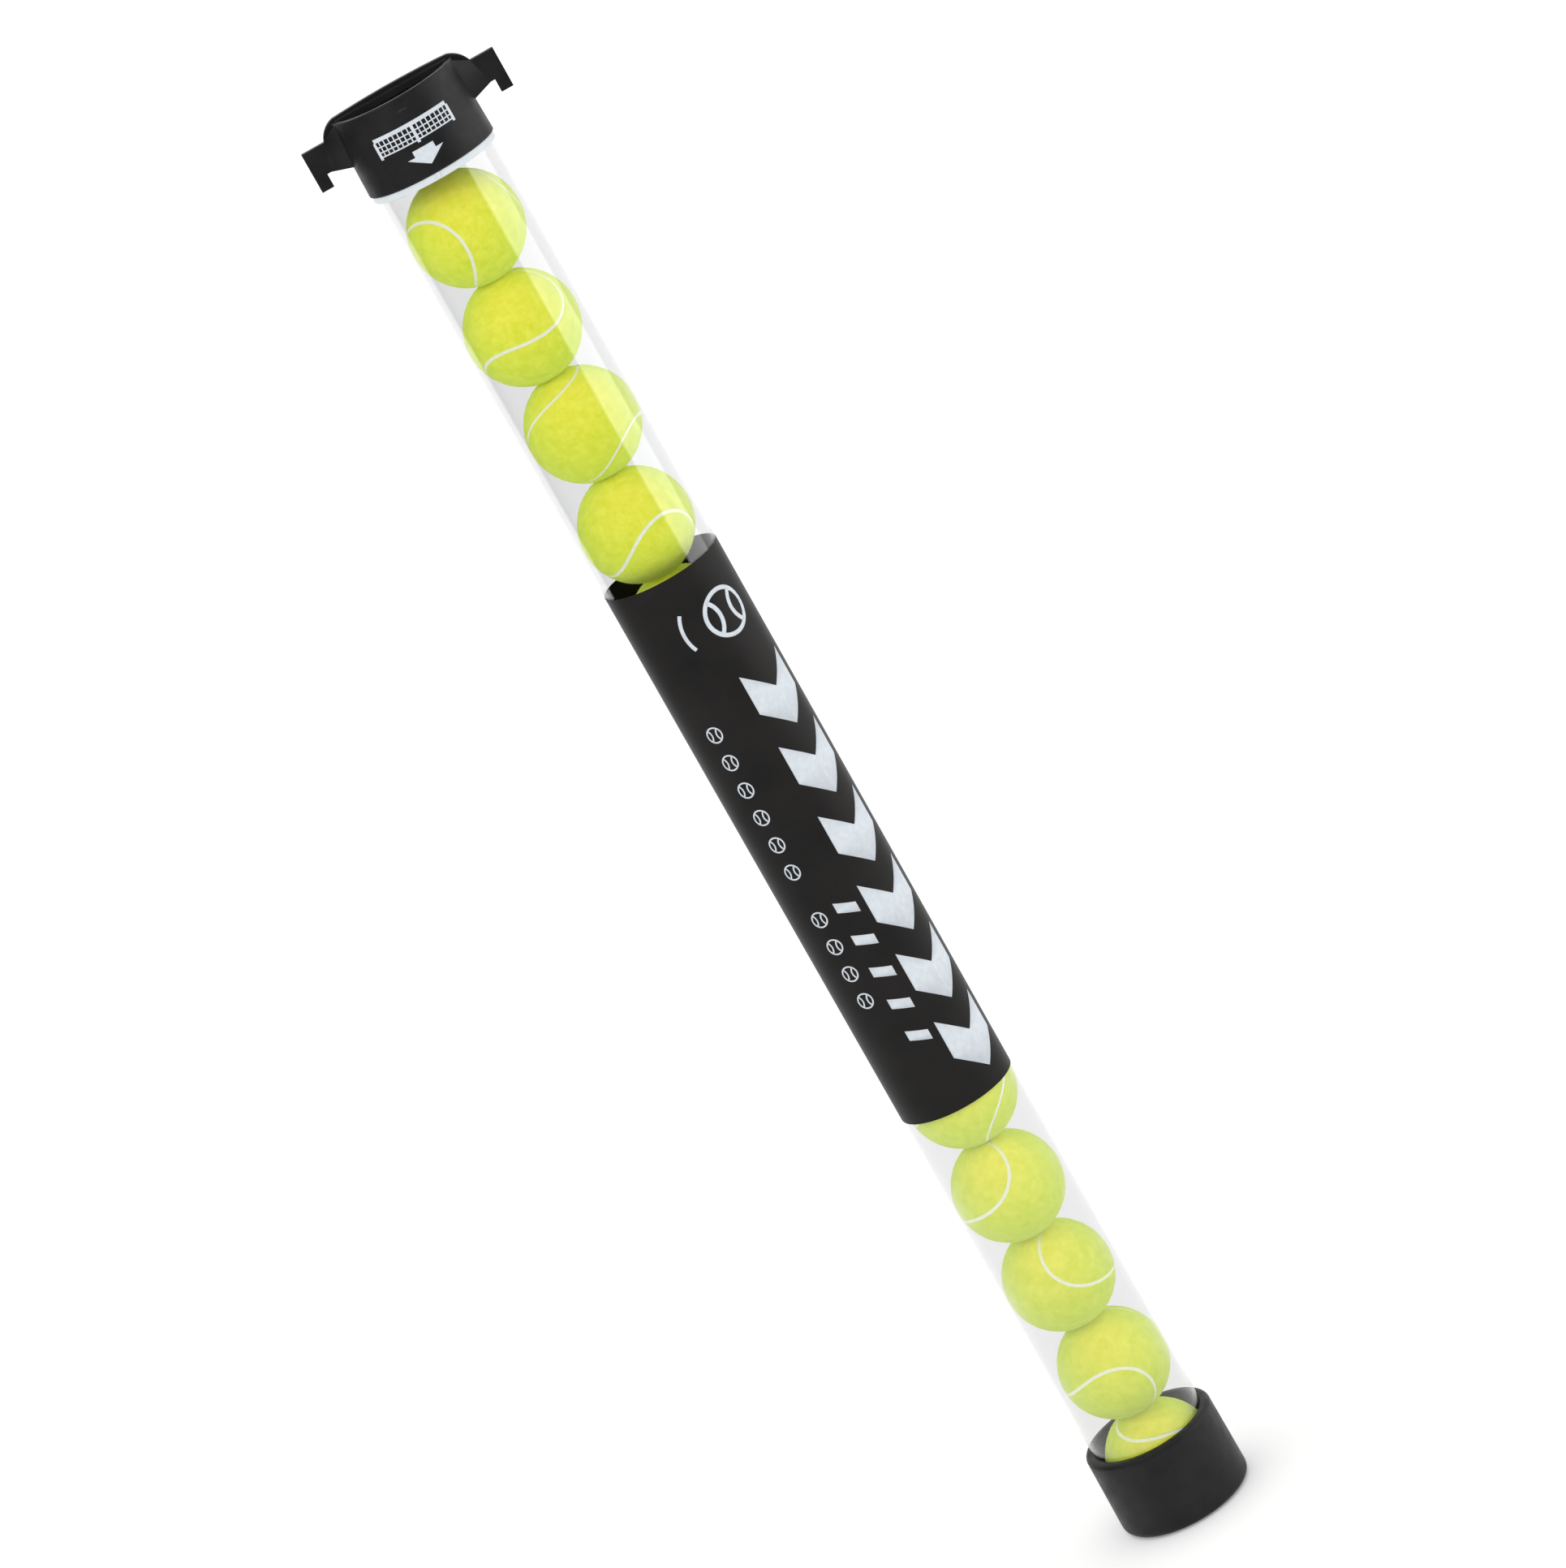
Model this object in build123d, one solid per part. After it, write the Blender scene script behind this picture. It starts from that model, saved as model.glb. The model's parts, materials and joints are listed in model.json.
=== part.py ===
"""Tennis ball pick-up tube with a net-height cap, in millimetres.

The row frame: the origin is the centre of the foot on the ground, +Z runs up the tube, the two hooks lie
along X and the printed side faces -Y. Stood on the ground, the lower edge of the white ring under the cap
marks the height of a tennis net at its centre.
"""

import os
from math import cos, hypot, pi, radians, sin, sqrt

from build123d import *

# Driving dimensions.
NET_HEIGHT = 914.4  # a tennis net at its centre, 3 ft
TUBE_R = 35.9
TUBE_WALL = 0.8
BALL_R = 32.5  # over the packed felt, where balls press on each other; the loose nap stands proud of it
BALL_COUNT = 14
FIT = 0.05  # radial gap where one piece slides into another
TOUCH = 0.02  # gap left between pieces that rest against each other
CUT_MARGIN = 2.0  # how far a cutting shape runs past what it cuts

# Foot collar.
COLLAR_HEIGHT = 53.0
COLLAR_R = 41.8  # at the foot
COLLAR_TOP_R = 41.2
COLLAR_TOP_ROUND = 3.2
COLLAR_FOOT_ROUND = 4.5
COLLAR_FLANGE = 8.0  # height of the inward flange that balls enter through
INTAKE_R = 34.2
INTAKE_MOUTH_R = 35.6  # the flange opens out to this at the ground, to lead a ball in
TUBE_START = 24.0  # height of the tube's lower end

# Retainer: a ring that sits on the flange, with tongues a ball can push past on its way in.
TONGUE_COUNT = 6
TONGUE_SWEEP = 36.0  # degrees round the ring that each tongue covers
TONGUE_THICKNESS = 1.3
TONGUE_RISE = 11.8
TONGUE_TIP_R = 30.8  # just clear of a ball that stands on the ground
RETAINER_BASE = 1.6
RETAINER_WALL = 1.0
TONGUE_GAP = 0.7  # a tongue's root to the ring's wall, along the radius
TONGUE_LIFT = 0.5  # a tongue's root above the ring's base

# Cap: a cup over the tube's top end, with a hook plate across it.
RING_HEIGHT = 4.1
RING_R = 38.3
RING_ROUND = 0.6
RING_TAB_WIDTH = 2.4  # small index tab at the ring's front
RING_TAB_PROUD = 0.5
CAP_R = 39.35
CAP_TOP_R = 38.2
CAP_HEIGHT = 46.7  # lower edge to the front rim
CAP_SOCKET = 22.0  # how far the tube goes in
CAP_MOUTH_R = 34.6
CAP_EDGE_ROUND = 0.8
CAP_STOP_GAP = 2.5  # tube's top end to the lower edge of the plate that stops the balls
REAR_SLOPE = 5.0  # degrees that the rim falls away behind the plate
LEDGE_DEPTH = 6.5  # half depth of the ledge that stiffens the plate
LEDGE_PROUD = 0.8  # ledge above the front rim
LEDGE_HEIGHT = 4.0
PLATE_RISE = 3.3  # plate above the front rim at the middle
PLATE_SAG = 1.1  # how much lower the plate's top is at its corners
PLATE_THICKNESS = 5.0
PLATE_BITE = 1.0  # how far the plate and its arch run into the cup's wall
SHOULDER_BULGE = 1.2  # how far the plate's fall to each hook bows out, along X and Z

# Hooks at the plate's ends, with heights above the cap's lower edge.
HOOK_SPAN_R = 60.8
HOOK_TOP = 39.6
HOOK_NOTCH = 23.5
HOOK_PRONG_END = 15.6
HOOK_PRONG_WIDTH = 7.4
WING_ROOT_X = 35.2
WING_ROOT_Y = 12.5  # half width at the top, and less at the foot
WING_ROOT_FOOT_Y = 5.0
WING_FOOT = 18.8
WING_TOP_X = 46.5
WING_FOOT_X = 50.8

# Printed film round the tube.
LABEL_BOTTOM = 295.0
LABEL_TOP = 654.0
LABEL_THICKNESS = 0.25

# Ball.
CORE_R = 30.0
CORE_WALL = 3.3
SEAM_WIDTH = 2.0
SEAM_DEPTH = 0.25  # seam below the felt
SEAM_WAIST = 0.19  # share of the radius in the seam's third harmonic: sets how narrow each panel's waist is
SEAM_STATIONS = 12  # sections in each quarter of the seam
LEAN = 1.8  # how far a ball stands off the tube's axis
LEAN_STEP = 108.0  # degrees between the sides of the tube that one ball and the next lean on
LEAN_START = -90.0
GROUND_GAP = 0.5  # lowest ball to the ground

# How each ball happens to lie, from the lowest up, in degrees. A point of its seam line, given as the
# parameter t, shows at a bearing (0 faces -Y, 90 faces +X) and a height above the ball's middle, and there
# the seam runs at a slant to the level. The seam is nearly straight at t = 0, where it then bends right, and
# at 90, where it then bends left. The tip of a lobe is at 45.
BALL_LIES = [
    (45, -40, 50, 155),
    (45, 15, 5, -45),
    (45, -5, 20, 115),
    (45, 5, 25, -125),
    (70, 25, -20, 45),
    (0, 40, 15, 20),
    (45, -60, -20, 80),
    (90, 10, 30, -30),
    (45, 100, 0, 60),
    (0, -80, -35, -15),
    (0, -25, -15, 35),
    (90, -60, 30, 35),
    (90, -5, -5, -5),
    (45, -15, 15, -60),
]

# Derived dimensions.
TUBE_BORE_R = TUBE_R - TUBE_WALL
CAP_BASE = NET_HEIGHT + RING_HEIGHT
TUBE_END = CAP_BASE + CAP_SOCKET
SOCKET_R = TUBE_R + FIT
RETAINER_R = TUBE_R
RETAINER_LOW = COLLAR_FLANGE + TOUCH
RETAINER_HIGH = TUBE_START - TOUCH
TONGUE_ROOT_R = RETAINER_R - RETAINER_WALL - TONGUE_GAP
TONGUE_ROOT_Z = RETAINER_LOW + RETAINER_BASE + TONGUE_LIFT


def disc(radius, low, high):
    """An upright cylinder between two heights."""
    return Pos(0, 0, low) * Cylinder(radius, high - low, align=(Align.CENTER, Align.CENTER, Align.MIN))


def sleeve(outer, inner, low, high):
    """An upright tube between two heights."""
    return disc(outer, low, high) - disc(inner, low - CUT_MARGIN, high + CUT_MARGIN)


def turned(points):
    """The solid of revolution about Z of a closed outline of (radius, height) points."""
    outline = Plane.XZ * make_face(Polyline(*points, close=True))
    return revolve(outline, Axis.Z)


def ring_edges(shape, radius, height, tolerance=0.05):
    """The circular edges of a shape that have one radius at one height."""
    circles = shape.edges().filter_by(GeomType.CIRCLE)
    return [
        edge for edge in circles
        if abs(edge.radius - radius) < tolerance and abs(edge.arc_center.Z - height) < tolerance
    ]


def clear_tube():
    return sleeve(TUBE_R, TUBE_BORE_R, TUBE_START, TUBE_END)


def label_sleeve():
    return sleeve(TUBE_R + TOUCH + LABEL_THICKNESS, TUBE_R + TOUCH, LABEL_BOTTOM, LABEL_TOP)


def net_height_ring():
    ring = sleeve(RING_R, SOCKET_R, NET_HEIGHT, CAP_BASE - TOUCH)
    ring = fillet(ring_edges(ring, RING_R, NET_HEIGHT), RING_ROUND)
    low, high = NET_HEIGHT + RING_ROUND, CAP_BASE - TOUCH
    tab = Pos(0, -RING_R, (low + high) / 2) * Box(RING_TAB_WIDTH, 2 * RING_TAB_PROUD, high - low)
    return ring + tab


def intake_collar():
    """The collar glued over the tube's lower end: a socket above, a flange that balls enter through below."""
    body = turned([
        (INTAKE_MOUTH_R, 0),
        (COLLAR_R, 0),
        (COLLAR_TOP_R, COLLAR_HEIGHT),
        (SOCKET_R, COLLAR_HEIGHT),
        (SOCKET_R, COLLAR_FLANGE),
        (INTAKE_R, COLLAR_FLANGE),
        (INTAKE_R, COLLAR_FLANGE / 2),
    ])
    body = fillet(ring_edges(body, COLLAR_R, 0), COLLAR_FOOT_ROUND)
    return fillet(ring_edges(body, COLLAR_TOP_R, COLLAR_HEIGHT), COLLAR_TOP_ROUND)


def retainer_ring():
    """The ring the tongues hinge on: a flat base on the collar's flange and a wall up to the tube's end."""
    wall = sleeve(RETAINER_R, RETAINER_R - RETAINER_WALL, RETAINER_LOW, RETAINER_HIGH)
    base = sleeve(RETAINER_R, INTAKE_R, RETAINER_LOW, RETAINER_LOW + RETAINER_BASE)
    return wall + base


def retainer_tongue(number):
    """One curved flap of the retainer, leaning in from the ring. It hinges outwards at its root."""
    flap = Plane.XZ * make_face(Polyline(
        (TONGUE_ROOT_R - TONGUE_THICKNESS, TONGUE_ROOT_Z),
        (TONGUE_ROOT_R, TONGUE_ROOT_Z),
        (TONGUE_TIP_R + TONGUE_THICKNESS, TONGUE_ROOT_Z + TONGUE_RISE),
        (TONGUE_TIP_R, TONGUE_ROOT_Z + TONGUE_RISE),
        close=True,
    ))
    bearing = 360.0 / TONGUE_COUNT * (number - 0.5)
    return Rot(0, 0, bearing - TONGUE_SWEEP / 2) * revolve(flap, Axis.Z, TONGUE_SWEEP)


def cap_wing(side):
    """The solid web from the cup's side to a hook, which narrows to the plate's thickness."""
    half = PLATE_THICKNESS / 2
    root = [
        (WING_ROOT_X, WING_ROOT_FOOT_Y, WING_FOOT),
        (WING_ROOT_X, -WING_ROOT_FOOT_Y, WING_FOOT),
        (WING_ROOT_X, -WING_ROOT_Y, CAP_HEIGHT),
        (WING_ROOT_X, WING_ROOT_Y, CAP_HEIGHT),
    ]
    tip = [
        (WING_FOOT_X, half, HOOK_NOTCH),
        (WING_FOOT_X, -half, HOOK_NOTCH),
        (WING_TOP_X, -half, HOOK_TOP),
        (WING_TOP_X, half, HOOK_TOP),
    ]
    sections = [Wire.make_polygon([Vector(*point) for point in points], close=True) for points in (root, tip)]
    wing = Solid.make_loft(sections, ruled=True)
    return wing if side > 0 else Rot(0, 0, 180) * wing


def hook_plate():
    """The flat plate through the cap's middle, seen along Y: two hooks and a low arch between them."""
    inner = HOOK_SPAN_R - HOOK_PRONG_WIDTH
    arch_x = WING_ROOT_X + PLATE_BITE
    foot_x = CAP_MOUTH_R + PLATE_BITE
    crown = CAP_HEIGHT + PLATE_RISE
    shoulder = crown - PLATE_SAG
    stop = CAP_SOCKET + CAP_STOP_GAP
    right = [
        (WING_TOP_X, HOOK_TOP), (HOOK_SPAN_R, HOOK_TOP), (HOOK_SPAN_R, HOOK_PRONG_END),
        (inner, HOOK_PRONG_END), (inner, HOOK_NOTCH), (foot_x, HOOK_NOTCH), (foot_x, stop),
    ]
    left = [(-x, z) for x, z in reversed(right)]
    arch = ThreePointArc((-arch_x, shoulder), (0, crown), (arch_x, shoulder))
    bulge_x = (arch_x + WING_TOP_X) / 2 + SHOULDER_BULGE
    bulge_z = (shoulder + HOOK_TOP) / 2 + SHOULDER_BULGE
    falls = [
        ThreePointArc((side * arch_x, shoulder), (side * bulge_x, bulge_z), (side * WING_TOP_X, HOOK_TOP))
        for side in (1, -1)
    ]
    outline = Plane.XZ * make_face([arch, *falls, Polyline(*right, *left)])
    return Pos(0, PLATE_THICKNESS / 2, 0) * extrude(outline, PLATE_THICKNESS, dir=(0, -1, 0))


def top_cap():
    """The pull-off cap: cup, hook plate, stiffening ledge and wings as one moulding."""
    cup = turned([
        (SOCKET_R, 0),
        (CAP_R, 0),
        (CAP_TOP_R, CAP_HEIGHT),
        (CAP_MOUTH_R, CAP_HEIGHT),
        (CAP_MOUTH_R, CAP_SOCKET),
        (SOCKET_R, CAP_SOCKET),
    ])
    cup = fillet(ring_edges(cup, CAP_R, 0) + ring_edges(cup, CAP_TOP_R, CAP_HEIGHT), CAP_EDGE_ROUND)
    fall = Pos(0, LEDGE_DEPTH, CAP_HEIGHT) * Rot(-REAR_SLOPE, 0, 0) * Box(
        4 * CAP_R, 2 * CAP_R, CAP_R, align=(Align.CENTER, Align.MIN, Align.MIN)
    )
    ledge = Pos(0, 0, CAP_HEIGHT + LEDGE_PROUD - LEDGE_HEIGHT / 2) * Box(
        2 * WING_ROOT_X, 2 * LEDGE_DEPTH, LEDGE_HEIGHT
    )
    hollow = disc(CAP_MOUTH_R, 0, 2 * CAP_HEIGHT) + disc(SOCKET_R, -CUT_MARGIN, CAP_SOCKET)
    wings = cap_wing(1) + cap_wing(-1) - hollow
    cap = (cup + wings - fall) + ledge + hook_plate()
    return Pos(0, 0, CAP_BASE) * cap


def seam_point(t):
    """A point of the ball's closed seam line, at parameter t in 0 to 2 pi, on a sphere of radius 1."""
    b = SEAM_WAIST
    a = 1 - b
    return Vector(a * cos(t) + b * cos(3 * t), a * sin(t) - b * sin(3 * t), 2 * sqrt(a * b) * sin(2 * t))


def seam_heading(t):
    """The direction in which the seam line runs at parameter t."""
    b = SEAM_WAIST
    a = 1 - b
    x = -a * sin(t) - 3 * b * sin(3 * t)
    y = a * cos(t) - 3 * b * cos(3 * t)
    return Vector(x, y, 4 * sqrt(a * b) * cos(2 * t)).normalized()


def seam_section(t, inner, outer, width):
    """The band's outline across the seam line at parameter t."""
    out = seam_point(t)
    across = out.cross(seam_heading(t)) * (width / 2)
    corners = [out * inner - across, out * inner + across, out * outer + across, out * outer - across]
    return Wire.make_polygon(corners, close=True)


def seam_band(inner, outer, width):
    """A band along the seam line between two radii. Its sides face along the ball's surface."""
    band = None
    for quarter in range(4):
        steps = [quarter + k / SEAM_STATIONS for k in range(SEAM_STATIONS + 1)]
        piece = Solid.make_loft([seam_section(pi / 2 * step, inner, outer, width) for step in steps])
        band = piece if band is None else band + piece
    return band


def ball_pieces():
    """The three kinds of piece in a ball centred on the origin: hollow core, two felt panels, seam."""
    core = Sphere(CORE_R) - Sphere(CORE_R - CORE_WALL)
    felt_inner = CORE_R + TOUCH
    shell = Sphere(BALL_R) - Sphere(felt_inner)
    low, high = felt_inner - CUT_MARGIN, BALL_R + CUT_MARGIN
    felt = shell - seam_band(low, high, SEAM_WIDTH)
    strip = seam_band(low, high, SEAM_WIDTH - 2 * TOUCH)
    seam = strip & (Sphere(BALL_R - SEAM_DEPTH) - Sphere(felt_inner))
    return {"core": core, "felt": felt, "seam": seam}


def ball_centres():
    """Centres from the lowest ball up. The lowest stands centred and the rest lean on the wall."""
    centres = [Vector(0, 0, BALL_R + GROUND_GAP)]
    for number in range(1, BALL_COUNT):
        bearing = radians(LEAN_START + LEAN_STEP * number)
        x, y = LEAN * cos(bearing), LEAN * sin(bearing)
        below = centres[-1]
        across = hypot(x - below.X, y - below.Y)
        rise = sqrt((2 * BALL_R + TOUCH) ** 2 - across ** 2)
        centres.append(Vector(x, y, below.Z + rise))
    return centres


def ball_lie(phase, bearing, height, slant):
    """The turn about a ball's centre that brings the seam's point at a phase to where it is to lie."""
    t = radians(phase)
    seam = Plane(origin=(0, 0, 0), x_dir=seam_heading(t), z_dir=seam_point(t))
    spot = Rot(0, 0, bearing) * Rot(-height, 0, 0) * Plane.XZ.location * Rot(0, 0, slant)
    return spot * seam.location.inverse()


def write(name, shape):
    shape.label = name
    export_step(shape, f"parts/{name}.step")


def main():
    os.makedirs("parts", exist_ok=True)
    write("clear_tube", clear_tube())
    write("label_sleeve", label_sleeve())
    write("net_height_ring", net_height_ring())
    write("intake_collar", intake_collar())
    write("retainer_ring", retainer_ring())
    for number in range(1, TONGUE_COUNT + 1):
        write(f"retainer_tongue_{number}", retainer_tongue(number))
    write("top_cap", top_cap())
    pieces = ball_pieces()
    for number, (centre, lie) in enumerate(zip(ball_centres(), BALL_LIES), start=1):
        for kind, shape in pieces.items():
            write(f"ball_{number:02d}_{kind}", Pos(centre) * ball_lie(*lie) * shape)


main()
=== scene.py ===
import json
import math
import random

import bmesh
import bpy
from mathutils import Matrix, Vector
from mathutils.kdtree import KDTree

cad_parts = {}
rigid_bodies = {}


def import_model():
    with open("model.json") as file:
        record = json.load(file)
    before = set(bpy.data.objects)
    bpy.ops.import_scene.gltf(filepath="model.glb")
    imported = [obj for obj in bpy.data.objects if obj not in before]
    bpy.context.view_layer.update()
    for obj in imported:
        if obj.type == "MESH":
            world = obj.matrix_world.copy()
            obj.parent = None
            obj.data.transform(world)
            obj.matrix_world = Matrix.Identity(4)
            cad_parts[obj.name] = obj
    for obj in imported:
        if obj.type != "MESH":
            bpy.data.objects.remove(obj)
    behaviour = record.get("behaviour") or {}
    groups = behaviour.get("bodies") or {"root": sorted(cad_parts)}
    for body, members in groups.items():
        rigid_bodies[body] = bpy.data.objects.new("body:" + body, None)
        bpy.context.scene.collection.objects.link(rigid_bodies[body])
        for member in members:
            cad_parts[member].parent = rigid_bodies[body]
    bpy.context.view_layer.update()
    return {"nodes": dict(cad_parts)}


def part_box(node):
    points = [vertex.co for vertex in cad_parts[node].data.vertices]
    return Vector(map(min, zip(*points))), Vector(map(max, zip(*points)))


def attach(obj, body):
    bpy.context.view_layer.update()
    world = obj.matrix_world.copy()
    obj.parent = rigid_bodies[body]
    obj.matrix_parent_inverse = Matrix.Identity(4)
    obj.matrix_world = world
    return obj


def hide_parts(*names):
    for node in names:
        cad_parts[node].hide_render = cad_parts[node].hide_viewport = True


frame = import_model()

MM = 0.001
NODES = frame["nodes"]
random.seed(914)

# Sizes, in metres ------------------------------------------------------------------------------------------

LABEL_LOW_CORNER, LABEL_HIGH_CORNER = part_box("label_sleeve")
LABEL_R = (LABEL_HIGH_CORNER.x - LABEL_LOW_CORNER.x) / 2
LABEL_TOP = LABEL_HIGH_CORNER.z
BORE_R = LABEL_R - 1.2 * MM  # as far out as a ball's nap may reach in the tube
CAP_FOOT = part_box("top_cap")[0].z
CAP_RIM = CAP_FOOT + 46.7 * MM  # the front edge of the cup
CAP_FOOT_R, CAP_RIM_R = 39.33 * MM, 38.2 * MM  # the cup's outside at its foot and its rim

INK_DEPTH = 0.05 * MM
INK_LIFT = 0.07 * MM  # from the wall to the face of a print
STRIP_WIDTH = 1.5 * MM  # of the flats that a bent print is made of
WELD = 0.001 * MM

BALLS = sorted(name.removesuffix("_felt") for name in NODES if name.endswith("_felt"))
CENTRES = [sum(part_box(ball + "_core"), Vector()) / 2 for ball in BALLS]
BALL_R = 32.5 * MM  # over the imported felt
NAP_R = 33.5 * MM  # over the loose nap
FELT_INNER_R = 31.0 * MM  # what lies nearer the centre than this is the felt's inner face
PRESSED_GAP = 0.04 * MM  # from a pressed flat to the plane between two balls
GROUND_GAP = 0.1 * MM
TRIM_BELOW, LOOSE_ABOVE = -9 * MM, -1 * MM  # heights from the lowest ball's middle
FIBRES = 4600  # tried on each ball; those too near the seam are left out
SEAM_CLEARANCE = 1.6 * MM


# Materials -------------------------------------------------------------------------------------------------

# A Mix node has sockets of the same name for each kind of data. These are the ones for colours.
MIX_SHARE, MIX_A, MIX_B, MIX_RESULT = 0, 6, 7, 2


class Shader:
    """A material's node tree, with short ways to add and wire nodes."""

    def __init__(self, name):
        self.material = bpy.data.materials.new(name)
        self.material.use_nodes = True
        self.tree = self.material.node_tree
        self.tree.nodes.clear()
        self.out = self.add("ShaderNodeOutputMaterial")

    def add(self, kind, **settings):
        """A node of a kind. A setting is one of its inputs, or else one of its properties."""
        node = self.tree.nodes.new(kind)
        for key, value in settings.items():
            if key in node.inputs:
                node.inputs[key].default_value = value
            else:
                setattr(node, key, value)
        return node

    def wire(self, a, out, b, into):
        self.tree.links.new(a.outputs[out], b.inputs[into])

    def principled(self, colour, roughness, **inputs):
        """A Principled shader. An input is named with underscores for spaces."""
        node = self.add("ShaderNodeBsdfPrincipled", Roughness=roughness)
        node.inputs["Base Color"].default_value = (*colour, 1)
        for key, value in inputs.items():
            node.inputs[key.replace("_", " ")].default_value = value
        return node

    def noise(self, scale, detail=4.0, roughness=0.55):
        """Noise fixed to the object. A scale of 1000 makes grains of about a millimetre."""
        coords = self.add("ShaderNodeTexCoord")
        node = self.add("ShaderNodeTexNoise", Scale=scale, Detail=detail, Roughness=roughness)
        self.wire(coords, "Object", node, "Vector")
        return node

    def ramp(self, source, low, high, at=(0.3, 0.7)):
        """A colour ramp between two linear colours, driven by a node's factor."""
        node = self.add("ShaderNodeValToRGB")
        start, end = node.color_ramp.elements
        start.position, end.position = at
        start.color = (*low, 1)
        end.color = (*high, 1)
        self.wire(source, 0, node, "Fac")
        return node

    def bump(self, source, strength, distance, normal=None):
        node = self.add("ShaderNodeBump", Strength=strength, Distance=distance)
        self.wire(source, 0, node, "Height")
        if normal:
            self.wire(normal, 0, node, "Normal")
        return node


def moulded(name, low, high, roughness, grain, edge, specular=0.35):
    """A moulded plastic: a fine spark-eroded grain, uneven sheen and edges rounded by the mould."""
    m = Shader(name)
    body = m.principled(high, roughness, Specular_IOR_Level=specular)
    mottle = m.noise(55.0, 5.0)
    m.wire(m.ramp(mottle, low, high), "Color", body, "Base Color")
    sheen = m.ramp(m.noise(130.0, 3.0), (roughness - 0.06,) * 3, (roughness + 0.08,) * 3)
    m.wire(sheen, "Color", body, "Roughness")
    rounded = m.add("ShaderNodeBevel", samples=6, Radius=edge)
    m.wire(m.bump(m.noise(2600.0, 2.0), grain, 0.0001, rounded), "Normal", body, "Normal")
    m.wire(body, "BSDF", m.out, "Surface")
    return m.material


def clear_plastic():
    """A thin clear wall: what is behind shows through, and it mirrors the room more towards its edges."""
    m = Shader("clear_wall")
    through = m.add("ShaderNodeBsdfTransparent", Color=(0.920, 0.922, 0.921, 1))
    mirror = m.add("ShaderNodeBsdfGlossy", Color=(1, 1, 1, 1))
    scuff = m.ramp(m.noise(40.0, 6.0), (0.015,) * 3, (0.06,) * 3)
    m.wire(scuff, "Color", mirror, "Roughness")
    refraction = 1.5
    side = m.add("ShaderNodeNewGeometry")
    # Light that leaves the wall sees the inverse index, so that it is mirrored no more than when it entered.
    index = m.add("ShaderNodeMapRange")
    index.inputs["To Min"].default_value = refraction
    index.inputs["To Max"].default_value = 1 / refraction
    m.wire(side, "Backfacing", index, "Value")
    fresnel = m.add("ShaderNodeFresnel")
    m.wire(index, "Result", fresnel, "IOR")
    # The tube's far side, which is seen through more than one wall, mirrors nothing.
    path = m.add("ShaderNodeLightPath")
    near = m.add("ShaderNodeMath", operation="LESS_THAN")
    near.inputs[1].default_value = 1.5
    m.wire(path, "Transparent Depth", near, 0)
    share = m.add("ShaderNodeMath", operation="MULTIPLY")
    m.wire(fresnel, "Fac", share, 0)
    m.wire(near, "Value", share, 1)
    mix = m.add("ShaderNodeMixShader")
    m.wire(share, "Value", mix, "Fac")
    m.wire(through, "BSDF", mix, 1)
    m.wire(mirror, "BSDF", mix, 2)
    m.wire(mix, "Shader", m.out, "Surface")
    return m.material


def label_film():
    """Satin black film that lets a trace of the balls' colour through."""
    m = Shader("label_film")
    film = m.principled((0.012, 0.011, 0.011), 0.40, Specular_IOR_Level=0.08)
    ripple = m.noise(28.0, 3.0)
    tone = m.ramp(ripple, (0.0115, 0.0110, 0.0108), (0.0165, 0.0152, 0.0147))
    m.wire(tone, "Color", film, "Base Color")
    m.wire(m.bump(ripple, 0.12, 0.0004), "Normal", film, "Normal")
    through = m.add("ShaderNodeBsdfTransparent")
    mix = m.add("ShaderNodeMixShader", Fac=0.02)
    m.wire(film, "BSDF", mix, 1)
    m.wire(through, "BSDF", mix, 2)
    m.wire(mix, "Shader", m.out, "Surface")
    return m.material


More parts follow.
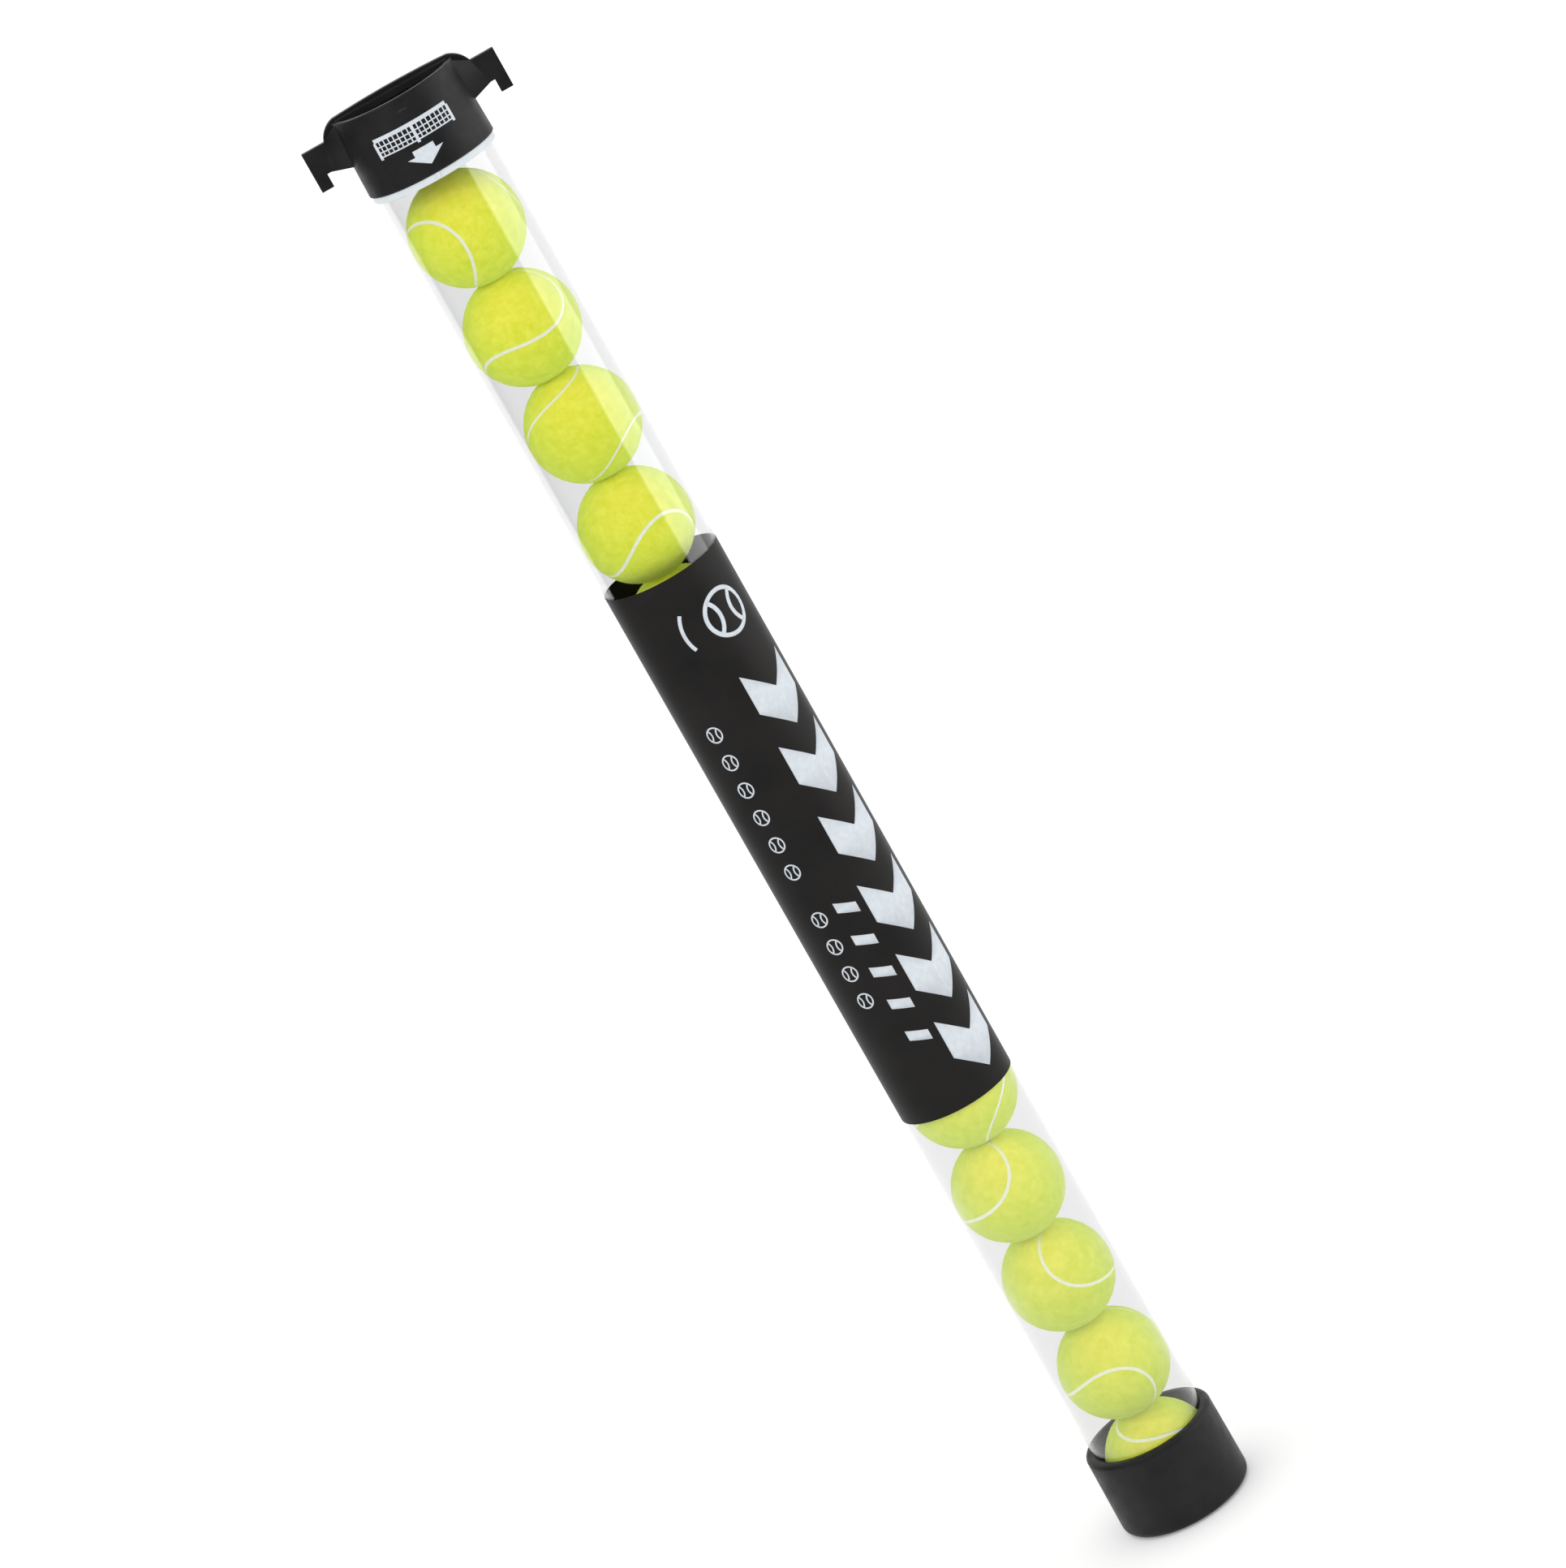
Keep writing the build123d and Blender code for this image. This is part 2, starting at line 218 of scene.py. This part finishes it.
def felt(name, lift):
    """Brushed optic-yellow felt with clumped fibres and painted light: yellower where it faces up as a
    painted highlight, greener and darker edge on and beneath as painted shade, and a faint glow that is
    partly the dye's and partly painted light.
    """
    m = Shader(name)
    # Painted light: the emission is a faint glow that lifts the felt's shade towards green, besides the
    # dye's own faint fluorescence.
    body = m.principled(
        (0.7, 0.8, 0.04), 0.95, Specular_IOR_Level=0.12, Emission_Strength=0.12,
        Sheen_Weight=0.45, Sheen_Roughness=0.55, Sheen_Tint=(0.95, 1.0, 0.55, 1),
    )
    clumps = m.noise(170.0, 8.0, 0.7)
    clump_edges = (0.32, 0.62)
    # Painted light and shade: the front ramp is the felt as if lit, and the side ramp is greener and darker
    # as if in shade.
    front = m.ramp(clumps, (0.82 * lift, 0.80 * lift, 0.04), (0.94 * lift, 0.90 * lift, 0.10), clump_edges)
    side = m.ramp(clumps, (0.54 * lift, 0.73 * lift, 0.03), (0.69 * lift, 0.82 * lift, 0.07), clump_edges)
    # Painted highlight and shade: the lowered normal moves the yellowest, lit-looking spot up from the
    # ball's middle, so the top is yellower and the underside greener and darker.
    surface = m.add("ShaderNodeNewGeometry")
    lowered = m.add("ShaderNodeVectorMath", operation="SUBTRACT")
    lowered.inputs[1].default_value = (0, 0, 0.55)
    m.wire(surface, "Normal", lowered, 0)
    unit = m.add("ShaderNodeVectorMath", operation="NORMALIZE")
    m.wire(lowered, "Vector", unit, 0)
    facing = m.add("ShaderNodeLayerWeight", Blend=0.7)
    m.wire(unit, "Vector", facing, "Normal")
    mix = m.add("ShaderNodeMix", data_type="RGBA")
    m.wire(facing, "Facing", mix, MIX_SHARE)
    m.wire(front, "Color", mix, MIX_A)
    m.wire(side, "Color", mix, MIX_B)
    # Painted shade: the object's colour makes the lower balls' felt greener and darker.
    foot_shade_info = m.add("ShaderNodeObjectInfo")
    tinted = m.add("ShaderNodeMix", data_type="RGBA", blend_type="MULTIPLY")
    tinted.inputs[MIX_SHARE].default_value = 1.0
    m.wire(mix, MIX_RESULT, tinted, MIX_A)
    m.wire(foot_shade_info, "Color", tinted, MIX_B)
    m.wire(tinted, MIX_RESULT, body, "Base Color")
    # The painted glow takes the same painted lit and shaded colours as the felt.
    m.wire(tinted, MIX_RESULT, body, "Emission Color")
    fibres = m.noise(1400.0, 6.0, 0.8)
    m.wire(m.bump(fibres, 0.55, 0.0006, m.bump(clumps, 0.5, 0.0008)), "Normal", body, "Normal")
    m.wire(body, "BSDF", m.out, "Surface")
    return m.material


def simple(name, low, high, roughness, scale, relief, specular=0.35):
    """A plain finish with a little variation in colour and relief."""
    m = Shader(name)
    body = m.principled(high, roughness, Specular_IOR_Level=specular)
    spots = m.noise(scale, 5.0)
    m.wire(m.ramp(spots, low, high), "Color", body, "Base Color")
    m.wire(m.bump(spots, relief, 0.0002), "Normal", body, "Normal")
    m.wire(body, "BSDF", m.out, "Surface")
    return m.material


BLACK = moulded(
    "black_moulding", (0.009, 0.009, 0.0098), (0.015, 0.015, 0.0162),
    roughness=0.44, grain=0.30, edge=0.6 * MM, specular=0.17,
)
RETAINER = moulded(
    "retainer_moulding", (0.02, 0.02, 0.022), (0.032, 0.032, 0.034),
    roughness=0.5, grain=0.25, edge=0.3 * MM,
)
WHITE = moulded(
    "white_moulding", (0.53, 0.57, 0.59), (0.60, 0.64, 0.66),
    roughness=0.4, grain=0.15, edge=0.5 * MM,
)
CLEAR = clear_plastic()
FILM = label_film()
INK = simple(
    "white_ink", (0.50, 0.54, 0.58), (0.57, 0.61, 0.65),
    roughness=0.5, scale=300.0, relief=0.2,
)
FELT = felt("felt", lift=1.0)
NAP = felt("felt_nap", lift=1.06)
SEAM = simple(
    "seam_rubber", (0.86, 0.90, 0.68), (0.95, 0.97, 0.82),
    roughness=0.7, scale=500.0, relief=0.5, specular=0.2,
)
RUBBER = simple(
    "core_rubber", (0.16, 0.15, 0.13), (0.22, 0.21, 0.19),
    roughness=0.8, scale=400.0, relief=0.4, specular=0.2,
)


def finish(material, *names):
    """Gives CAD nodes a material."""
    for name in names:
        for slot in NODES[name].material_slots:
            slot.material = material


finish(BLACK, "top_cap", "intake_collar")
finish(RETAINER, "retainer_ring", *[name for name in NODES if name.startswith("retainer_tongue")])
finish(WHITE, "net_height_ring")
finish(CLEAR, "clear_tube")
finish(FILM, "label_sleeve")
finish(RUBBER, *[ball + "_core" for ball in BALLS])


def add_piece(mesh, material, body):
    """An object for a mesh, in one material, that moves with a body."""
    mesh.materials.clear()
    mesh.materials.append(material)
    obj = bpy.data.objects.new(mesh.name, mesh)
    bpy.context.scene.collection.objects.link(obj)
    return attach(obj, body)


# Prints, laid out flat in millimetres and wrapped round the label or the cap -------------------------------
#
# A flat point is the arc length to the right of the front, and the height above the ground.

def rectangle(left, low, right, high):
    return [(left, low), (right, low), (right, high), (left, high)]


def ellipse(cx, cy, rx, ry, steps=48):
    turn = [2 * math.pi * k / steps for k in range(steps)]
    return [(cx + rx * math.cos(a), cy + ry * math.sin(a)) for a in turn]


def arc(cx, cy, r, start, end, steps=24):
    """Points along an arc, with angles in degrees."""
    turn = [math.radians(start + (end - start) * k / steps) for k in range(steps + 1)]
    return [(cx + r * math.cos(a), cy + r * math.sin(a)) for a in turn]


def stroke(points, width):
    """A flat ribbon of one width along a line of points, as a list of quads."""
    sides = []
    for k, (x, y) in enumerate(points):
        ax, ay = points[max(k - 1, 0)]
        bx, by = points[min(k + 1, len(points) - 1)]
        dx, dy = bx - ax, by - ay
        length = math.hypot(dx, dy)
        nx, ny = -dy / length * width / 2, dx / length * width / 2
        sides.append(((x + nx, y + ny), (x - nx, y - ny)))
    return [[a, b, d, c] for (a, b), (c, d) in zip(sides, sides[1:])]


def ball_mark(cx, cy, r, line):
    """The outline of a ball with its two seam arcs."""
    ring = stroke(arc(cx, cy, r - line / 2, 0, 360, 64), line)
    left = stroke(arc(cx - r * 1.25, cy, r * 0.95, -46, 46), line)
    right = stroke(arc(cx + r * 1.25, cy, r * 0.95, 134, 226), line)
    return ring + left + right


def chevron(cx, top, half_width, length, thickness):
    """A V across the label that points down it."""
    drop = length - thickness
    left, right = cx - half_width, cx + half_width
    return [
        [(left, top), (cx, top - drop), (cx, top - length), (left, top - thickness)],
        [(cx, top - drop), (right, top), (right, top - thickness), (cx, top - length)],
    ]


def slanted_bar(cx, cy, half_width, thickness, slant):
    left, right = cx - half_width, cx + half_width
    high, low = cy + slant, cy - slant
    return [(left, high), (right, low), (right, low - thickness), (left, high - thickness)]


def cut_in_strips(bm):
    """Cuts a flat sheet by upright lines, so that it can bend."""
    low = min(v.co.x for v in bm.verts)
    high = max(v.co.x for v in bm.verts)
    x = low + STRIP_WIDTH
    while x < high:
        everything = bm.verts[:] + bm.edges[:] + bm.faces[:]
        bmesh.ops.bisect_plane(bm, geom=everything, dist=WELD, plane_co=(x, 0, 0), plane_no=(1, 0, 0))
        x += STRIP_WIDTH


def thicken(bm):
    """Gives a flat sheet a back and sides, so that it is a closed plate with crisp edges."""
    bm.normal_update()
    front = bm.faces[:]
    for face in front:
        face.smooth = True
        if face.normal.z < 0:
            face.normal_flip()
    rim = [edge.link_loops[0] for edge in bm.edges if len(edge.link_faces) == 1]
    behind = {v: bm.verts.new((v.co.x, v.co.y, -INK_DEPTH)) for v in bm.verts[:]}
    for face in front:
        bm.faces.new([behind[v] for v in reversed(face.verts[:])]).smooth = True
    for loop in rim:
        a, b = loop.vert, loop.link_loop_next.vert
        bm.faces.new([b, a, behind[a], behind[b]])


def wrapped(name, faces, radius_at, body, material, lift=INK_LIFT):
    """Flat faces, thickened and laid on a round wall whose radius follows from the height."""
    bm = bmesh.new()
    for face in faces:
        bm.faces.new([bm.verts.new((x * MM, y * MM, 0)) for x, y in face])
    bmesh.ops.triangulate(bm, faces=bm.faces[:])
    cut_in_strips(bm)
    bmesh.ops.remove_doubles(bm, verts=bm.verts[:], dist=WELD)
    thicken(bm)
    for v in bm.verts:
        r = radius_at(v.co.y)
        turn = v.co.x / r
        out = r + lift + v.co.z
        v.co = Vector((out * math.sin(turn), -out * math.cos(turn), v.co.y))
    mesh = bpy.data.meshes.new(name)
    bm.to_mesh(mesh)
    bm.free()
    add_piece(mesh, material, body)


def label_radius(height):
    """The same at every height."""
    return LABEL_R


def cap_radius(height):
    """The cup tapers from its foot to its rim."""
    share = (height - CAP_FOOT) / (CAP_RIM - CAP_FOOT)
    return CAP_FOOT_R + (CAP_RIM_R - CAP_FOOT_R) * share


def bearing(degrees):
    """Arc length round the label from the front to a bearing, in millimetres."""
    return math.radians(degrees) * LABEL_R / MM


def label_print():
    """A ball in flight above chevrons down the label, and beside them small balls and short bars."""
    top = LABEL_TOP / MM
    ball_x, ball_y = bearing(34), top - 34
    marks = ball_mark(ball_x, ball_y, r=15.0, line=2.6)
    marks += stroke(arc(ball_x - 5.0, ball_y, r=24.0, start=150, end=205), width=2.2)
    for k in range(6):
        marks += chevron(bearing(42), top - 70 - 47 * k, half_width=18.5, length=42.0, thickness=25.0)
    wrapped("print_large", marks, label_radius, "tube", INK)
    small = []
    for k in range(10):
        break_in_row = 14.0 if k >= 6 else 0.0
        small += ball_mark(bearing(-34), top - 94 - 18.6 * k - break_in_row, r=5.2, line=0.95)
    wrapped("print_balls", small, label_radius, "tube", INK)
    bars = [slanted_bar(bearing(-5), top - 216 - 22 * k, 6.2, thickness=6.5, slant=2.6) for k in range(5)]
    wrapped("print_bars", bars, label_radius, "tube", INK)


def merged(bars):
    """Upright and level bars that cross, as the cells of one grid, so that no face lies on another."""
    columns = sorted({x for left, low, right, high in bars for x in (left, right)})
    rows = sorted({y for left, low, right, high in bars for y in (low, high)})
    cells = []
    for left, right in zip(columns, columns[1:]):
        for low, high in zip(rows, rows[1:]):
            x, y = (left + right) / 2, (low + high) / 2
            if any(bar[0] < x < bar[2] and bar[1] < y < bar[3] for bar in bars):
                cells.append(rectangle(left, low, right, high))
    return cells


def net_mark(low, high, half_width):
    """A net seen from the front: its tape, its cords and three posts that stand a little lower."""
    tape, cord, hem, post, post_drop, columns = 2.3, 0.7, 0.8, 1.8, 1.2, 16
    under_tape = high - tape
    bars = [(-half_width, under_tape, half_width, high), (-half_width, low, half_width, low + hem)]
    for row in (1, 2):
        y = low + (under_tape - low) * row / 3
        bars.append((-half_width, y - cord / 2, half_width, y + cord / 2))
    for column in range(columns + 1):
        x = -half_width + 2 * half_width * column / columns
        if column in (0, columns / 2, columns):
            bars.append((x - post / 2, low - post_drop, x + post / 2, under_tape))
        else:
            bars.append((x - cord / 2, low, x + cord / 2, under_tape))
    return merged(bars)


def cap_print():
    """A net, with an arrow beneath it that points down at the ring, and the mark of the mould's gate."""
    foot = CAP_FOOT / MM
    tip, barb, tail = foot + 5.8, foot + 12.8, foot + 16.4
    marks = net_mark(foot + 20.5, foot + 31.8, half_width=24.0)
    marks += [[(0, tip), (11.2, barb), (6.5, barb), (6.5, tail), (-6.5, tail), (-6.5, barb), (-11.2, barb)]]
    wrapped("print_cap", marks, cap_radius, "cap", INK)
    wrapped("gate_mark", [ellipse(0, foot + 39.5, 3.4, 0.6)], cap_radius, "cap", RETAINER, lift=0.12 * MM)


label_print()
cap_print()


# Balls: soft copies of the felt and the seam, and fibres brushed over them ---------------------------------

def pressed(point, number):
    """A point of a ball, moved clear of the balls above and below, the tube's wall and the ground."""
    centre = CENTRES[number]
    for other in (number - 1, number + 1):
        if 0 <= other < len(CENTRES):
            gap = CENTRES[other] - centre
            over = (point - centre).dot(gap.normalized()) - (gap.length / 2 - PRESSED_GAP)
            if over > 0:
                point = point - gap.normalized() * over
    off_axis = math.hypot(point.x, point.y)
    if off_axis > BORE_R:
        point = Vector((point.x * BORE_R / off_axis, point.y * BORE_R / off_axis, point.z))
    return Vector((point.x, point.y, max(point.z, GROUND_GAP)))


def puffed(offset, number):
    """A felt point's offset from its ball's centre, swelled from packed felt to loose nap.

    The lowest ball stays trim where the retainer holds it.
    """
    grow = NAP_R / BALL_R - 1
    if number == 0:
        share = min(max((offset.z - TRIM_BELOW) / (LOOSE_ABOVE - TRIM_BELOW), 0.0), 1.0)
        grow *= share * share * (3 - 2 * share)
    return offset * (1 + grow)


def foot_shade(number):
    """Painted shade for a ball: towards the foot its felt is made greener and darker, standing in for the
    dimmer light there.
    """
    lowness = 1 - number / (len(BALLS) - 1)
    return (1 - 0.11 * lowness, 1 - 0.09 * lowness, 1, 1)


def swell(number, kind, material):
    """A soft copy of a ball's felt or seam, which takes its place."""
    source = BALLS[number] + "_" + kind
    mesh = NODES[source].data.copy()
    mesh.name = BALLS[number] + "_soft_" + kind
    centre = CENTRES[number]
    for v in mesh.vertices:
        if (v.co - centre).length > FELT_INNER_R:
            v.co = pressed(centre + puffed(v.co - centre, number), number)
    obj = add_piece(mesh, material, BALLS[number])
    # Painted shade, greener and darker towards the foot.
    obj.color = foot_shade(number)
    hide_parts(source)


def any_way():
    """A direction with no preference, not yet of length 1."""
    return Vector((random.gauss(0, 1), random.gauss(0, 1), random.gauss(0, 1)))


# A fibre's root, its three sides up to the bend, and its three sides up to the tip.
FIBRE_FACES = [(0, 1, 2), (0, 3, 4, 1), (1, 4, 5, 2), (2, 5, 3, 0), (3, 6, 4), (4, 6, 5), (5, 6, 3)]


def fibre(root, out):
    """The corners of one closed fibre: three at its root, three where it bends, and its tip."""
    along = out.cross(any_way()).normalized()
    side = out.cross(along) * random.uniform(0.05, 0.11) * MM
    keel = out * 0.07 * MM
    length = random.uniform(0.7, 1.8) * MM
    rise = random.uniform(0.25, 0.6) * MM
    bend = root + along * length * 0.55 + out * rise
    tip = root + along * length + out * rise * random.uniform(0.5, 0.9)
    return [
        root - side, root + side, root - keel,
        bend - side * 0.8, bend + side * 0.8, bend - keel * 0.8,
        tip,
    ]


def nap(number):
    """Fibres that lie over at random all round a ball, clear of its seam."""
    centre = CENTRES[number]
    seam = NODES[BALLS[number] + "_seam"].data.vertices
    near = KDTree(len(seam))
    for k, v in enumerate(seam):
        near.insert((v.co - centre).normalized() * BALL_R, k)
    near.balance()
    root_depth = 0.15 * MM
    verts, faces = [], []
    for _ in range(FIBRES):
        out = any_way().normalized()
        if near.find(out * BALL_R)[2] < SEAM_CLEARANCE:
            continue
        base = len(verts)
        corners = fibre(puffed(out * BALL_R, number) - out * root_depth, out)
        verts += [pressed(centre + corner, number) for corner in corners]
        faces += [[base + k for k in face] for face in FIBRE_FACES]
    mesh = bpy.data.meshes.new(BALLS[number] + "_nap")
    mesh.from_pydata(verts, [], faces)
    obj = add_piece(mesh, NAP, BALLS[number])
    # Painted shade, greener and darker towards the foot.
    obj.color = foot_shade(number)


for number in range(len(BALLS)):
    swell(number, "felt", FELT)
    swell(number, "seam", SEAM)
    nap(number)


# Studio ----------------------------------------------------------------------------------------------------

def floor():
    """White paper that glows a little, as if lit from beneath."""
    half, drop = 14.0, 0.0005
    corners = [(x, y, 0) for x, y in rectangle(-half, -half, half, half)]
    mesh = bpy.data.meshes.new("floor")
    mesh.from_pydata(corners, [], [(0, 1, 2, 3)])
    paper = simple(
        "paper_floor", (0.945, 0.945, 0.945), (0.955, 0.955, 0.955),
        roughness=0.9, scale=3.0, relief=0.02, specular=0.1,
    )
    paper.node_tree.nodes["Principled BSDF"].inputs["Emission Strength"].default_value = 0.13
    mesh.materials.append(paper)
    obj = bpy.data.objects.new("floor", mesh)
    obj.location.z = -drop
    bpy.context.scene.collection.objects.link(obj)


def flag():
    """A black card curved round the front and left, which only mirrors see, so that the tube isn't hazy."""
    bend, high, steps = 2.25, 3.0, 32
    left, right = -125, 51
    turn = [math.radians(left + (right - left) * k / steps) for k in range(steps + 1)]
    foot = [(bend * math.sin(a), -bend * math.cos(a), 0) for a in turn]
    faces = [(k, k + 1, k + steps + 2, k + steps + 1) for k in range(steps)]
    mesh = bpy.data.meshes.new("flag")
    mesh.from_pydata(foot + [(x, y, high) for x, y, _ in foot], [], faces)
    cloth = simple(
        "flag_cloth", (0.004, 0.004, 0.004), (0.006, 0.006, 0.006),
        roughness=1.0, scale=5.0, relief=0.1, specular=0.0,
    )
    mesh.materials.append(cloth)
    obj = bpy.data.objects.new("flag", mesh)
    for ray in ("camera", "diffuse", "transmission", "volume_scatter", "shadow"):
        setattr(obj, "visible_" + ray, False)
    bpy.context.scene.collection.objects.link(obj)


def world(strength):
    room = bpy.data.worlds.new("room")
    room.use_nodes = True
    background = room.node_tree.nodes["Background"]
    background.inputs["Color"].default_value = (1, 1, 1, 1)
    background.inputs["Strength"].default_value = strength
    bpy.context.scene.world = room


def softbox(name, place, target, width, height, watts):
    """A soft light that reaches the object alone, so that the paper round the foot stays even."""
    light = bpy.data.lights.new(name, "AREA")
    light.shape = "RECTANGLE"
    light.size, light.size_y = width, height
    light.energy = watts
    obj = bpy.data.objects.new(name, light)
    obj.location = place
    aim = Vector(target) - Vector(place)
    obj.rotation_euler = aim.to_track_quat("-Z", "Y").to_euler()
    obj.visible_camera = False
    lit = bpy.data.collections.new(name + "_reaches")
    for item in bpy.context.scene.objects:
        if item.type == "MESH" and item.name not in ("floor", "flag"):
            lit.objects.link(item)
    obj.light_linking.receiver_collection = lit
    bpy.context.scene.collection.objects.link(obj)


def camera():
    """A long lens that looks down at the tube's middle, rolled so that the tube leans in the picture."""
    data = bpy.data.cameras.new("camera")
    data.sensor_width = 36.0
    data.lens = 140.5
    data.clip_end = 100.0
    obj = bpy.data.objects.new("camera", data)
    bpy.context.scene.collection.objects.link(obj)
    place = Matrix.Translation((0.0, -3.382, 1.445))
    tilt = Matrix.Rotation(math.radians(74.5), 4, "X")
    roll = Matrix.Rotation(math.radians(-29.5), 4, "Z")
    obj.matrix_world = place @ tilt @ roll
    bpy.context.scene.camera = obj


floor()
flag()
world(strength=1.06)
softbox("key", place=(-1.2, -1.4, 1.9), target=(0, 0, 0.85), width=1.1, height=1.1, watts=13.0)
softbox("side", place=(1.48, -0.26, 0.56), target=(0, 0, 0.56), width=1.48, height=1.08, watts=7.0)
camera()
bpy.context.scene.view_settings.view_transform = "Standard"
